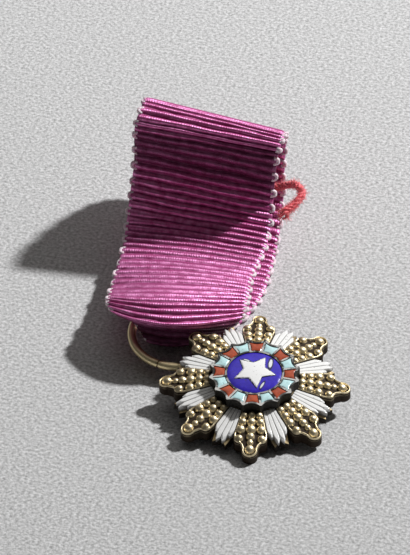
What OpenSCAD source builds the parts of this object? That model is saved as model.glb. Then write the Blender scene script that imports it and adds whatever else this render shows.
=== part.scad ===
// Miniature medal as it lies on a table: an eight-rayed gilt star with enamels, hung by a jump ring from a
// folded loop of ribbed ribbon. Lengths are in millimetres, +Z is up and the ribbon's fold runs along X.

/* [Ribbon] */
// Thickness of the ribbon's wall
ribbon_wall = 1; // [1:0.05:1.05]
// Strips across the ribbon's width
ribbon_strips = 10; // [8:1:10]
// Steps between two rows of the ribbon's table
ribbon_steps = 4; // [3:1:4]

/* [Thread end] */
// Diameter of the red sewing thread
thread_d = 0.6; // [0.5:0.05:0.7]

/* [Suspension ring] */
// Outer diameter of the jump ring
ring_outer_d = 11.2; // [11.1:0.1:11.3]
// Diameter of the ring's wire
ring_wire_d = 0.9; // [0.8:0.05:0.95]

/* [Star] */
// Distance from tip to opposite tip
star_d = 19.8; // [19.6:0.1:20]
// Thickness of the star at the tips of its rays
star_edge = 1; // [0.9:0.05:1.1]
// Rise of the star's face from the tips to the medallion
star_rise = 1; // [0.9:0.05:1.1]
// Depth of the enamel on a white ray
enamel_depth = 0.55; // [0.5:0.05:0.6]
// Wire thickness of the eye soldered on the back
eye_wire_d = 0.5; // [0.4:0.05:0.55]

/* [Medallion] */
// Outer diameter over the cusps of the rim
medallion_d = 9.4; // [9.3:0.1:9.6]
// Height of the medallion above the star
medallion_h = 1.1; // [1:0.05:1.2]
// Width of the metal walls between the enamels
wall_w = 0.2; // [0.16:0.02:0.24]
// Depth of the enamels' pockets
pocket_depth = 0.6; // [0.5:0.05:0.7]
// Distance from the centre to a tip of the white star
center_star_r = 2.3; // [2.2:0.05:2.35]

/* [Hidden] */

// The tables below were laid out from a point of the table under the lap; this is the middle of the part
// seen from there.
middle_at = [5.17, -3.75, 0];

// The ribbon's outer face, a row for each place that shapes the loop. It starts at the top fold, comes down
// the front, turns over through the ring, runs back on the table and climbs the back.
// Columns: ribs counted from the fold, left edge, right edge, and how far the middle of the width stands
// from the straight line between the edges, in Y and in Z.
RIB = 0;
LEFT = 1;
RIGHT = 2;
MIDDLE = 3;
ribbon_rows = [
    [1, [-8.8, 10.55, 16.6], [6.4, 10.45, 15.45], [0, 0]],        // top fold
    [3, [-9.04, 9, 15.7], [6.16, 9.05, 14.6], [0, 0]],            // front side of the fold
    [5, [-9.36, 8.6, 14.3], [5.94, 8.7, 13.2], [0, 0]],           // front, below the fold
    [9, [-9.8, 9.1, 10], [5.6, 9.2, 9], [0, 0]],                  // front, upright
    [13, [-9.9, 7.9, 7], [5.8, 7.7, 6.3], [0, 0]],                // front, leaning out
    [17, [-9.7, 5.6, 4.6], [6, 4.9, 5.1], [0, 0.2]],              // bend at the foot of the upright part
    [21, [-9.3, 2.6, 3.6], [6, 1.8, 4.9], [0, 0.3]],              // back of the lap
    [25, [-8.9, -1.3, 3.6], [6.2, -1.9, 5.5], [-0.1, 0.6]],       // lap
    [29, [-8.4, -5.2, 4], [6.8, -5.1, 6], [-0.6, 1]],             // front of the lap
    [34, [-7.3, -10.3, 5.5], [7.2, -7.6, 6.1], [-1.8, 1]],        // crest of the roll
    [37, [-5.8, -12.4, 5], [7.1, -8.9, 5.4], [-1.6, 0.6]],        // front of the roll
    [40, [-3, -12.5, 3], [5.8, -9.8, 3.9], [-0.5, 0.5]],          // under the front of the roll
    [44, [-2.9, -10.7, 1.2], [4, -9, 1.7], [-0.9, 0]],            // going down through the ring
    [48, [-4.2, -6.8, 0.4], [4.6, -5.8, 0.4], [-1.2, -0.2]],      // turning back on the table
    [52, [-7.2, -2.6, 0], [5.8, -2, 0], [-0.5, 0]],               // front of the sole
    [57, [-8.8, 2.6, 0], [6.3, 2.4, 0], [0, 0]],                  // sole
    [62, [-9.1, 7.2, 0], [6.1, 6.9, 0], [0, 0]],                  // back of the sole
    [67, [-9.2, 12.1, 0.4], [5.7, 11.1, 0.6], [0, 0]],            // heel
    [72, [-9.4, 17, 2.4], [5.3, 15.1, 3.4], [0.3, 0]],            // back, low
    [77, [-9.5, 19.5, 7.1], [5.2, 16.3, 7.6], [0.5, 0]],          // back, bulging
    [82, [-9.5, 18.3, 11.8], [5.5, 15.5, 11.7], [0.3, 0]],        // back, high
    [87, [-9.2, 13.9, 15.45], [6.1, 13.1, 14.7], [0, 0]],         // back, below the fold
    [89, [-8.9, 12.05, 16.7], [6.4, 11.85, 15.6], [0, 0]]         // back side of the fold
];
ribs_round = 90;
row_count = len(ribbon_rows);
line_count = row_count * ribbon_steps;

// The thread's centre line, from the seam inside the loop to its free end.
thread_points = [
    [4.7, 14.1, 5], [5.7, 14.2, 5.5], [7.2, 13, 7.1], [8.1, 12, 7.2],
    [8, 11, 7.1], [7.6, 10, 6.8], [6.9, 9.1, 6.6], [6.8, 9, 5.9]
];

// The jump ring's centre, and the way its plane leans.
ring_at = [0.59, -9.85, 2.6];
ring_lean = [8.5, 0.5];

// The badge lies on the tip of one ray and on the ring. Its back leans up toward lean_way, and its
// suspension ray points to ray_way.
badge_xy = [10.5, -17.3];
badge_lean = 11.3;
lean_way = 101.5;
ray_way = 146.3;
lowest_ray_off = 0.2;

RAYS = 8;
ray_step = 360 / RAYS;
tip_bead_r = 0.8;
tip_bead_at = star_d / 2 - tip_bead_r;
corner_bead_r = 0.5;
corner_bead_at = [1.2, 7.75];
hub_r = 4.4;
face_slope = star_rise / (star_d / 2 - hub_r);
eye_r = 1;
eye_at = [0, 7.2, -0.95];
post_r = 0.8;
post_play = 0.06;

SEGMENTS = 16;
segment_step = 360 / SEGMENTS;
medallion_r = medallion_d / 2;
scallop_r = 1.2;
scallop_depth = 0.4;
scallop_at = medallion_r - scallop_depth + scallop_r;
segment_in_r = 3.05;
disc_r = 2.85;
disc_dome = 0.3;
star_notch = 0.52;
play = 0.03;
cut = 1;
seat_gap = 0.04;
post_foot = 0.1;
enamel_rim = 0.1;
medallion_z = star_edge + star_rise + seat_gap;
medallion_top = medallion_z + medallion_h;
pocket_z = medallion_top - pocket_depth;

$fn = 64;

// Ribbon

function row_at(i) = ribbon_rows[(i + row_count) % row_count];

function rib_at(i) = row_at(i)[RIB] + ribs_round * floor(i / row_count);

// Point on row i, with t from -1 at the left edge to 1 at the right edge
function across(i, t) =
    let (row = row_at(i), arch = row[MIDDLE])
    (row[LEFT] + row[RIGHT]) / 2 + t * (row[RIGHT] - row[LEFT]) / 2 + (1 - t * t) * [0, arch[0], arch[1]];

function along(i, t) = (across(i + 1, t) - across(i - 1, t)) / (rib_at(i + 1) - rib_at(i - 1));

// The table flattens what would hang below it
function on_table(p) = [p[0], p[1], max(0, p[2])];

// Smooth curve from row i (s = 0) to the row after it (s = 1)
function on_ribbon(i, s, t) =
    let (span = rib_at(i + 1) - rib_at(i), s2 = s * s, s3 = s2 * s)
    on_table(
        (2 * s3 - 3 * s2 + 1) * across(i, t) + (s3 - 2 * s2 + s) * span * along(i, t)
        + (3 * s2 - 2 * s3) * across(i + 1, t) + (s3 - s2) * span * along(i + 1, t)
    );

outer_face = [
    for (i = [0 : row_count - 1]) for (k = [0 : ribbon_steps - 1])
        [for (j = [0 : ribbon_strips]) on_ribbon(i, k / ribbon_steps, 2 * j / ribbon_strips - 1)]
];

function unit(v) = v / norm(v);

function outward(a, j) =
    let (
        next = outer_face[(a + 1) % line_count][j],
        last = outer_face[(a + line_count - 1) % line_count][j],
        right = outer_face[a][min(j + 1, ribbon_strips)],
        left = outer_face[a][max(j - 1, 0)]
    )
    unit(cross(next - last, right - left));

inner_face = [
    for (a = [0 : line_count - 1])
        [for (j = [0 : ribbon_strips]) outer_face[a][j] - ribbon_wall * outward(a, j)]
];

function face_points(face) = [for (line = face) for (p = line) p - middle_at];

module ribbon() {
    w = ribbon_strips + 1;
    inside = line_count * w;
    function at(a, j) = (a % line_count) * w + j;
    outer_skin = [
        for (a = [0 : line_count - 1]) for (j = [0 : ribbon_strips - 1])
            each [
                [at(a, j), at(a + 1, j), at(a, j + 1)],
                [at(a, j + 1), at(a + 1, j), at(a + 1, j + 1)]
            ]
    ];
    inner_skin = [
        for (a = [0 : line_count - 1]) for (j = [0 : ribbon_strips - 1])
            each [
                [inside + at(a, j), inside + at(a, j + 1), inside + at(a + 1, j)],
                [inside + at(a, j + 1), inside + at(a + 1, j + 1), inside + at(a + 1, j)]
            ]
    ];
    left_edge = [
        for (a = [0 : line_count - 1])
            each [
                [at(a, 0), inside + at(a, 0), at(a + 1, 0)],
                [inside + at(a, 0), inside + at(a + 1, 0), at(a + 1, 0)]
            ]
    ];
    right_edge = [
        for (a = [0 : line_count - 1]) let (j = ribbon_strips)
            each [
                [at(a, j), at(a + 1, j), inside + at(a, j)],
                [inside + at(a, j), at(a + 1, j), inside + at(a + 1, j)]
            ]
    ];
    color("orchid")
        polyhedron(
            points = concat(face_points(outer_face), face_points(inner_face)),
            faces = concat(outer_skin, inner_skin, left_edge, right_edge),
            convexity = 6
        );
}

module thread_end() {
    color("tomato")
        translate(-middle_at)
            for (k = [0 : len(thread_points) - 2])
                hull() {
                    translate(thread_points[k])
                        sphere(d = thread_d, $fn = 16);
                    translate(thread_points[k + 1])
                        sphere(d = thread_d, $fn = 16);
                }
}

// Suspension ring

module torus(mean_r, wire_d) {
    rotate_extrude()
        translate([mean_r, 0])
            circle(d = wire_d, $fn = 32);
}

module suspension_ring() {
    color("goldenrod")
        translate(ring_at - middle_at)
            rotate([ring_lean[0], ring_lean[1], 0])
                torus((ring_outer_d - ring_wire_d) / 2, ring_wire_d);
}

// Badge: drawn flat with the plate's back at Z = 0 and the suspension ray along +Y, then laid in place

module lay_badge() {
    lift = (tip_bead_at * cos(lowest_ray_off) + tip_bead_r) * sin(badge_lean);
    translate([badge_xy[0], badge_xy[1], lift] - middle_at)
        rotate([0, 0, lean_way])
            rotate([0, -badge_lean, 0])
                rotate([0, 0, ray_way - 90 - lean_way])
                    children();
}

// Everything under the star's sloping face, lowered by drop
module under_face(drop) {
    top_r = hub_r;
    height = star_edge + star_rise - drop;
    foot_r = top_r + height / face_slope;
    cylinder(h = height, r1 = foot_r, r2 = top_r);
}

module gilt_ray_outline() {
    polygon([
        [-0.9, 3.2], [-1.1, 4.7], [-1.7, 7.2], [-1.7, 7.7], [-1, 8.4], [-0.78, 9],
        [0.78, 9], [1, 8.4], [1.7, 7.7], [1.7, 7.2], [1.1, 4.7], [0.9, 3.2]
    ]);
    for (side = [-1, 1])
        translate([side * corner_bead_at[0], corner_bead_at[1]])
            circle(r = corner_bead_r);
    translate([0, tip_bead_at])
        circle(r = tip_bead_r);
}

// Two long tips and two short ones, drawn in by margin
module white_ray_outline(margin) {
    polygon([
        [-0.6 + margin, 4.3 + margin], [-1.12 + margin, 7.1 - margin], [-0.94 + margin, 7.4 - margin],
        [-0.74 + margin / 2, 8.5 - 2 * margin], [0, 7.9 - margin], [0.74 - margin / 2, 8.5 - 2 * margin],
        [0.94 - margin, 7.4 - margin], [1.12 - margin, 7.1 - margin], [0.6 - margin, 4.3 + margin]
    ]);
}

module star_plate() {
    color("gold")
        lay_badge()
            difference() {
                union() {
                    intersection() {
                        union() {
                            cylinder(h = star_edge + star_rise, r = hub_r);
                            for (k = [0 : RAYS - 1])
                                rotate([0, 0, k * ray_step])
                                    linear_extrude(star_edge + star_rise)
                                        gilt_ray_outline();
                        }
                        under_face(0);
                    }
                    intersection() {
                        for (k = [0 : RAYS - 1])
                            rotate([0, 0, (k + 0.5) * ray_step])
                                linear_extrude(star_edge + star_rise)
                                    white_ray_outline(0);
                        under_face(enamel_depth);
                    }
                    translate(eye_at)
                        rotate([0, 90, 0])
                            torus(eye_r, eye_wire_d);
                }
                translate([0, 0, -cut])
                    cylinder(h = star_edge + star_rise + 2 * cut, r = post_r + post_play);
            }
}

module enamel_ray(number) {
    color("whitesmoke")
        lay_badge()
            rotate([0, 0, -(number - 0.5) * ray_step])
                difference() {
                    intersection() {
                        linear_extrude(star_edge + star_rise)
                            white_ray_outline(enamel_rim);
                        under_face(play);
                    }
                    under_face(enamel_depth - play);
                    cylinder(h = star_edge + star_rise, r = hub_r + play);
                }
}

module sector(r, angle) {
    reach = 2 * r;
    polygon([[0, 0], [-reach * sin(angle / 2), reach * cos(angle / 2)],
        [reach * sin(angle / 2), reach * cos(angle / 2)]]);
}

// One of the sixteen fields round the rim, drawn in by margin
module segment_outline(margin) {
    difference() {
        intersection() {
            circle(r = medallion_r);
            translate([0, (wall_w / 2 + margin) / sin(segment_step / 2)])
                sector(medallion_r, segment_step);
        }
        circle(r = segment_in_r + margin);
        translate([0, scallop_at])
            circle(r = scallop_r + wall_w + margin);
    }
}

module small_star_outline(margin) {
    tip = center_star_r - margin;
    notch = star_notch * tip;
    polygon([
        for (k = [0 : 4])
            each [
                [-tip * sin(72 * k), tip * cos(72 * k)],
                [-notch * sin(72 * k + 36), notch * cos(72 * k + 36)]
            ]
    ]);
}

module medallion() {
    color("silver")
        lay_badge() {
            difference() {
                translate([0, 0, medallion_z])
                    cylinder(h = medallion_h, r = medallion_r);
                for (k = [0 : SEGMENTS - 1])
                    rotate([0, 0, k * segment_step]) {
                        translate([0, scallop_at, medallion_z - cut])
                            cylinder(h = medallion_h + 2 * cut, r = scallop_r);
                        translate([0, 0, pocket_z])
                            linear_extrude(pocket_depth + cut)
                                segment_outline(0);
                    }
                translate([0, 0, pocket_z])
                    cylinder(h = pocket_depth + cut, r = disc_r);
            }
            translate([0, 0, post_foot])
                cylinder(h = medallion_z, r = post_r);
        }
}

module segment(step) {
    lay_badge()
        rotate([0, 0, -step * segment_step])
            translate([0, 0, pocket_z + play])
                linear_extrude(pocket_depth - play)
                    segment_outline(play);
}

module red_segment(number) {
    color("orangered")
        segment(2 * (number - 1));
}

module turquoise_segment(number) {
    color("mediumturquoise")
        segment(2 * number - 1);
}

// The shallow dome over the blue disc and the white star
module under_dome() {
    dome_r = (disc_r * disc_r + disc_dome * disc_dome) / (2 * disc_dome);
    translate([0, 0, medallion_top + disc_dome - dome_r])
        sphere(r = dome_r, $fn = 240);
}

module blue_disc() {
    color("mediumblue")
        lay_badge()
            intersection() {
                translate([0, 0, pocket_z + play])
                    difference() {
                        cylinder(h = pocket_depth + disc_dome, r = disc_r - play);
                        translate([0, 0, pocket_depth / 2])
                            linear_extrude(pocket_depth + disc_dome)
                                small_star_outline(0);
                    }
                under_dome();
            }
}

module center_star() {
    color("white")
        lay_badge()
            intersection() {
                translate([0, 0, pocket_z + pocket_depth / 2 + 2 * play])
                    linear_extrude(pocket_depth + disc_dome)
                        small_star_outline(play);
                under_dome();
            }
}

ribbon();
thread_end();
suspension_ring();
star_plate();
for (k = [1 : RAYS]) {
    enamel_ray(k);
    red_segment(k);
    turquoise_segment(k);
}
medallion();
blue_disc();
center_star();
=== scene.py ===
"""Looks of the miniature medal: a rayed gilt star with enamels under a folded loop of ribbed ribbon."""

import math

import bpy
import numpy as np
from mathutils import Matrix, Vector


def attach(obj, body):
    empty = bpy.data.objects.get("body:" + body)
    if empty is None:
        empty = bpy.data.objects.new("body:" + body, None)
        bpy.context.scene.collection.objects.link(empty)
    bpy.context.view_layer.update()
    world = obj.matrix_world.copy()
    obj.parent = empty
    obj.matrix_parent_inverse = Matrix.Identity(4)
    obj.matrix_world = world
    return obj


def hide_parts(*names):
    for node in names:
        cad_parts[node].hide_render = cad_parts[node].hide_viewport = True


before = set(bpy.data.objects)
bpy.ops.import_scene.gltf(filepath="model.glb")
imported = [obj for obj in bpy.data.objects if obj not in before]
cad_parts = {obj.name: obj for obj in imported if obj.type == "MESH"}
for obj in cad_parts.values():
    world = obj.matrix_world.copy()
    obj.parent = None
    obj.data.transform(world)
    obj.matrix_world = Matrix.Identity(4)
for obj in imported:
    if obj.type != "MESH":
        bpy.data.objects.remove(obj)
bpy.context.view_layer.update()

# Metres in a millimetre
MM = 0.001
# Sizes and places are in millimetres and angles in degrees, unless a comment says otherwise. Places are
# measured from a point of the table under the lap, where the middle of the medal's footprint is at MIDDLE.
MIDDLE = np.array([5.17, -3.75, 0.0])


# Camera

CAMERA_AZIMUTH = math.radians(15)
CAMERA_ELEVATION = math.radians(35)
CAMERA_DISTANCE = 600.0
# Height of what the picture shows at the focus point's depth, and the picture's middle across and up
VIEW_HEIGHT = 58.42
VIEW_CENTRE = (0.526, 2.368)
FOCUS_POINT = np.array([2.0, -4.0, 4.0])


def camera_axes():
    """The camera's right, its up, and the way from the medal to the camera."""
    around_sin, around_cos = math.sin(CAMERA_AZIMUTH), math.cos(CAMERA_AZIMUTH)
    rise_sin, rise_cos = math.sin(CAMERA_ELEVATION), math.cos(CAMERA_ELEVATION)
    right = np.array([around_cos, around_sin, 0.0])
    up = np.array([-around_sin * rise_sin, around_cos * rise_sin, rise_cos])
    back = np.array([around_sin * rise_cos, -around_cos * rise_cos, rise_sin])
    return right, up, back


def make_camera():
    """The camera at the photo's angle."""
    right, up, back = camera_axes()
    target = VIEW_CENTRE[0] * right + VIEW_CENTRE[1] * up + FOCUS_POINT.dot(back) * back
    place = (target + CAMERA_DISTANCE * back - MIDDLE) * MM
    data = bpy.data.cameras.new("photo_camera")
    data.sensor_fit = "VERTICAL"
    data.sensor_height = 24.0
    data.lens = data.sensor_height * CAMERA_DISTANCE / VIEW_HEIGHT
    data.clip_start = 0.01
    data.clip_end = 10.0
    camera = bpy.data.objects.new("photo_camera", data)
    turn = Matrix((right, up, back)).transposed().to_4x4()
    camera.matrix_world = Matrix.Translation(Vector(place)) @ turn
    bpy.context.scene.collection.objects.link(camera)
    bpy.context.scene.camera = camera


# Light and table

# The way to the lamp, its distance and diameter in metres, and its power in watts
LIGHT_FROM = (0.496, 0.429, 0.754)
LIGHT_DISTANCE = 0.6
LIGHT_SIZE = 0.055
LIGHT_POWER = 6.2
# The lamp's own axis points this way, so it looks past the medal, to the left and a little back.
LAMP_AXIS = (0.899, -0.172, 0.402)
ROOM_LIGHT = 0.042
ROOM_COLOR = (1.0, 0.98, 0.95, 1.0)
# Each glow of the room: where it comes from, its strength, and how narrow it is.
ROOM_GLOWS = (((0.15, 0.8, 0.58), 0.36, 5.0), ((-0.22, 0.45, 0.865), 0.42, 10.0))


def make_light():
    """One soft lamp from the back right, in a dim room with two soft glows."""
    data = bpy.data.lights.new("window_light", "AREA")
    data.shape = "DISK"
    data.size = LIGHT_SIZE
    data.energy = LIGHT_POWER
    data.color = (1.0, 1.0, 1.0)
    light = bpy.data.objects.new("window_light", data)
    direction = Vector(LIGHT_FROM).normalized()
    light.location = direction * LIGHT_DISTANCE
    light.rotation_mode = "QUATERNION"
    light.rotation_quaternion = Vector(LAMP_AXIS).to_track_quat("Z", "Y")
    bpy.context.scene.collection.objects.link(light)
    world = bpy.data.worlds.new("room_light")
    world.use_nodes = True
    tree = world.node_tree
    background = tree.nodes["Background"]
    background.inputs["Color"].default_value = ROOM_COLOR
    way = tree.nodes.new("ShaderNodeTexCoord").outputs["Generated"]
    total = ROOM_LIGHT
    for side, strength, narrow in ROOM_GLOWS:
        facing = math_node(tree, "MAXIMUM", share_along(tree, way, side), 0.0)
        glow = math_node(tree, "POWER", facing, narrow)
        total = plus(tree, times(tree, glow, strength), total)
    tree.links.new(total, background.inputs["Strength"])
    bpy.context.scene.world = world


# Meshes

def mesh_object(name, points, face_groups, smooth_below=180.0):
    """A mesh from points in millimetres; each face group is an array with a row of corners a face."""
    mesh = bpy.data.meshes.new(name)
    corners = np.concatenate([np.asarray(group).ravel() for group in face_groups]).astype(np.int32)
    sizes = np.concatenate([np.full(len(group), np.shape(group)[1]) for group in face_groups])
    starts = np.concatenate([[0], np.cumsum(sizes)[:-1]]).astype(np.int32)
    places = ((np.asarray(points, float) - MIDDLE) * MM).astype(np.float32)
    mesh.vertices.add(len(places))
    mesh.vertices.foreach_set("co", places.ravel())
    mesh.loops.add(len(corners))
    mesh.loops.foreach_set("vertex_index", corners)
    mesh.polygons.add(len(starts))
    mesh.polygons.foreach_set("loop_start", starts)
    mesh.update(calc_edges=True)
    mesh.validate()
    mesh.shade_smooth()
    if smooth_below < 180.0:
        mesh.set_sharp_from_angle(angle=math.radians(smooth_below))
    piece = bpy.data.objects.new(name, mesh)
    bpy.context.scene.collection.objects.link(piece)
    return piece


def set_value(piece, name, values):
    """Keeps a number for each point of the mesh, for the piece's material to read."""
    layer = piece.data.attributes.new(name, "FLOAT", "POINT")
    layer.data.foreach_set("value", np.asarray(values, np.float32).ravel())


def grid_faces(rows, columns, wrap_rows=False, wrap_columns=False):
    """Quads of a grid whose points are stored row after row."""
    i = np.arange(rows if wrap_rows else rows - 1)
    j = np.arange(columns if wrap_columns else columns - 1)
    i, j = np.meshgrid(i, j, indexing="ij")
    down = (i + 1) % rows
    side = (j + 1) % columns
    quads = np.stack([i * columns + j, down * columns + j, down * columns + side, i * columns + side], -1)
    return quads.reshape(-1, 4)


def unit(v):
    """The same direction with a length of one."""
    return v / np.maximum(np.linalg.norm(v, axis=-1, keepdims=True), 1e-12)


def smooth_step(x):
    """Goes softly from 0 to 1 as x does."""
    x = np.clip(x, 0.0, 1.0)
    return x * x * (3.0 - 2.0 * x)


def smooth_path(points, steps):
    """A rounded line through the points."""
    p = np.asarray(points, float)
    p = np.concatenate([[2 * p[0] - p[1]], p, [2 * p[-1] - p[-2]]])
    line = []
    for a, b, c, d in zip(p[:-3], p[1:-2], p[2:-1], p[3:]):
        for s in np.arange(steps) / steps:
            line.append(0.5 * (2 * b + (c - a) * s + (2 * a - 5 * b + 4 * c - d) * s * s
                               + (3 * b - a - 3 * c + d) * s ** 3))
    line.append(p[-2])
    return np.array(line)


def path_frames(line):
    """Two directions across the line at each of its points, turning as little as they can."""
    along = unit(np.gradient(line, axis=0))
    side = np.zeros_like(line)
    start = np.cross(along[0], [0.0, 0.0, 1.0])
    if np.linalg.norm(start) < 0.1:
        start = np.cross(along[0], [1.0, 0.0, 0.0])
    side[0] = unit(start)
    for k in range(1, len(line)):
        side[k] = unit(side[k - 1] - side[k - 1].dot(along[k]) * along[k])
    return side, np.cross(along, side)


def tube(line, radius, sides):
    """Points and quads of an open tube along a line."""
    side, lift = path_frames(line)
    radius = np.broadcast_to(np.asarray(radius, float), (len(line),))
    turn = 2 * np.pi * np.arange(sides) / sides
    ring = np.cos(turn)[None, :, None] * side[:, None] + np.sin(turn)[None, :, None] * lift[:, None]
    points = line[:, None] + radius[:, None, None] * ring
    quads = grid_faces(len(line), sides, wrap_columns=True)
    return points.reshape(-1, 3), quads


class Joined:
    """Collects points and quads of many small things for one mesh."""

    def __init__(self):
        self.points = []
        self.quads = []
        self.values = []
        self.count = 0

    def add(self, points, quads, value=0.0):
        self.points.append(points)
        self.quads.append(quads + self.count)
        self.values.append(np.broadcast_to(np.asarray(value, float), (len(points),)))
        self.count += len(points)

    def piece(self, name, smooth_below=180.0):
        return mesh_object(name, np.concatenate(self.points), [np.concatenate(self.quads)], smooth_below)

    def all_values(self):
        return np.concatenate(self.values)


# Ribbon

# One row for each place that shapes the loop: ribs counted from the fold, left edge, right edge, and how
# far the middle of the width stands from the straight line between the edges, in Y and in Z. Two places
# differ from the solids: the fold lies a little further left, and the roll over the ring is fuller.
RIBBON_ROWS = [
    (1, (-9.3, 10.55, 16.5), (6.35, 10.4, 15.05), (0, 0)),
    (3, (-9.45, 9, 15.6), (6.2, 9.5, 14.3), (0, 0)),
    (5, (-9.6, 8.6, 14.2), (6, 9.1, 13.2), (0, 0)),
    (9, (-9.8, 9.1, 10), (5.6, 9.2, 9), (0, 0)),
    (13, (-9.9, 7.9, 7), (5.8, 7.7, 6.3), (0, 0)),
    (17, (-9.7, 5.6, 4.6), (6, 4.9, 5.1), (0, 0.2)),
    (21, (-9.3, 2.6, 3.6), (6, 1.8, 4.9), (0, 0.3)),
    (25, (-8.9, -1.3, 3.6), (6.2, -1.9, 5.5), (-0.1, 0.6)),
    (29, (-8.4, -5.2, 4), (6.8, -5.1, 6), (-0.6, 1)),
    (33, (-7.6, -9.2, 5.4), (7.1, -7.3, 6.1), (-1.6, 1.1)),
    (36, (-7.3, -10.6, 5.5), (7.4, -8.6, 5.9), (-2.6, 0.9)),
    (38, (-6.6, -11.5, 5), (7.2, -9.4, 5.2), (-3.1, 0.7)),
    (40, (-4.9, -10.7, 3.8), (6.2, -9.6, 4), (-1.6, 0.3)),
    (44, (-2.9, -10.7, 1.2), (4, -9, 1.7), (-1, 0)),
    (48, (-4.2, -6.8, 0.4), (4.6, -5.8, 0.4), (-1.2, -0.2)),
    (52, (-7.2, -2.6, 0), (5.8, -2, 0), (-0.5, 0)),
    (57, (-8.8, 2.6, 0), (6.3, 2.4, 0), (0, 0)),
    (62, (-9.1, 7.2, 0), (6.1, 6.9, 0), (0, 0)),
    (67, (-9.2, 12.1, 0.4), (5.7, 11.1, 0.6), (0, 0)),
    (72, (-9.4, 17, 2.4), (5.3, 15.1, 3.4), (0.3, 0)),
    (77, (-9.5, 19.5, 7.1), (5.2, 16.3, 7.6), (0.5, 0)),
    (82, (-9.5, 18.3, 11.8), (5.5, 15.5, 11.7), (0.3, 0)),
    (87, (-9.6, 13.9, 15.35), (6.1, 12.9, 14.3), (0, 0)),
    (89, (-9.4, 12.05, 16.55), (6.35, 11.4, 15.1), (0, 0)),
]
RIBS_ROUND = 90
# The cloth's width, flat length and thickness, and the depth of the grooves between its ribs
RIBBON_WIDTH = 15.3
CLOTH = 0.62
RIB_DEPTH = 0.34
# Points along the cloth for each rib, and strips across it
RIB_STEPS = 8
RIBBON_STRIPS = 48
# Over this width the cloth thins toward its edges, to these shares of its thickness and of its grooves
EDGE_WIDTH = 0.45
EDGE_THICKNESS = 0.45
EDGE_GROOVE = 0.35


def ribbon_point(rib, t):
    """Points of the ribbon's outer face at rib numbers and at t from -1 (left edge) to 1 (right edge)."""
    knots = np.array([row[0] for row in RIBBON_ROWS], float)
    left = np.array([row[1] for row in RIBBON_ROWS], float)
    right = np.array([row[2] for row in RIBBON_ROWS], float)
    arch = np.array([(0.0,) + row[3] for row in RIBBON_ROWS], float)
    count = len(knots)
    rib = (np.asarray(rib, float) - knots[0]) % RIBS_ROUND + knots[0]
    rib, t = np.broadcast_arrays(rib, np.asarray(t, float))
    i = np.searchsorted(knots, rib, side="right") - 1

    def knot(k):
        return knots[k % count] + RIBS_ROUND * (k // count)

    def across(k):
        k = k % count
        middle = (left[k] + right[k]) / 2
        return middle + t[..., None] * (right[k] - left[k]) / 2 + (1 - t * t)[..., None] * arch[k]

    def along(k):
        return (across(k + 1) - across(k - 1)) / (knot(k + 1) - knot(k - 1))[..., None]

    span = (knot(i + 1) - knot(i))[..., None]
    s = ((rib - knot(i)) / span[..., 0])[..., None]
    point = ((2 * s ** 3 - 3 * s ** 2 + 1) * across(i) + (s ** 3 - 2 * s ** 2 + s) * span * along(i)
             + (3 * s ** 2 - 2 * s ** 3) * across(i + 1) + (s ** 3 - s ** 2) * span * along(i + 1))
    point[..., 2] = np.maximum(point[..., 2], 0.0)
    return point


# The rows' rib numbers against the ribs that show, which lie wider on the lap.
RIB_NUMBERS = (0, 20, 28, 36, 91)
RIBS_SHOWN = (0, 20, 27.4, 34, 89)
# How deep the painted shade on the silk goes in two places, under the fold and under the roll, at most 1
UNDER_FOLD = 0.8
UNDER_ROLL = 0.82
# How much of that painted shade the silk's colour takes, and the distance between its fine warp threads
PAINTED_SHADE_SHARE = 0.93
WARP_SPACING = 0.27


def ribbon_outward(rib, t):
    """The direction out of the loop, square to the cloth."""
    along = ribbon_point(rib + 0.2, t) - ribbon_point(rib - 0.2, t)
    side = ribbon_point(rib, np.minimum(t + 0.04, 1.0)) - ribbon_point(rib, np.maximum(t - 0.04, -1.0))
    return unit(np.cross(along, side))


def ribbon_painted_shade(rib, t):
    """Where shade is painted onto the silk: under the fold, and under the roll save for one narrow line left
    lighter, as a rib that catches light.
    """
    under_fold = smooth_step((rib + 0.6 * t - 3.6) / 1.4) * (1 - smooth_step((rib - 8.2) / 2.4))
    under_roll = smooth_step((rib - 37.7) / 0.8) * (1 - smooth_step((rib - 48) / 4))
    under_roll = under_roll - 0.5 * np.exp(-((rib - 38.5) / 0.15) ** 2)
    return np.maximum(UNDER_FOLD * under_fold, UNDER_ROLL * under_roll)


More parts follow.
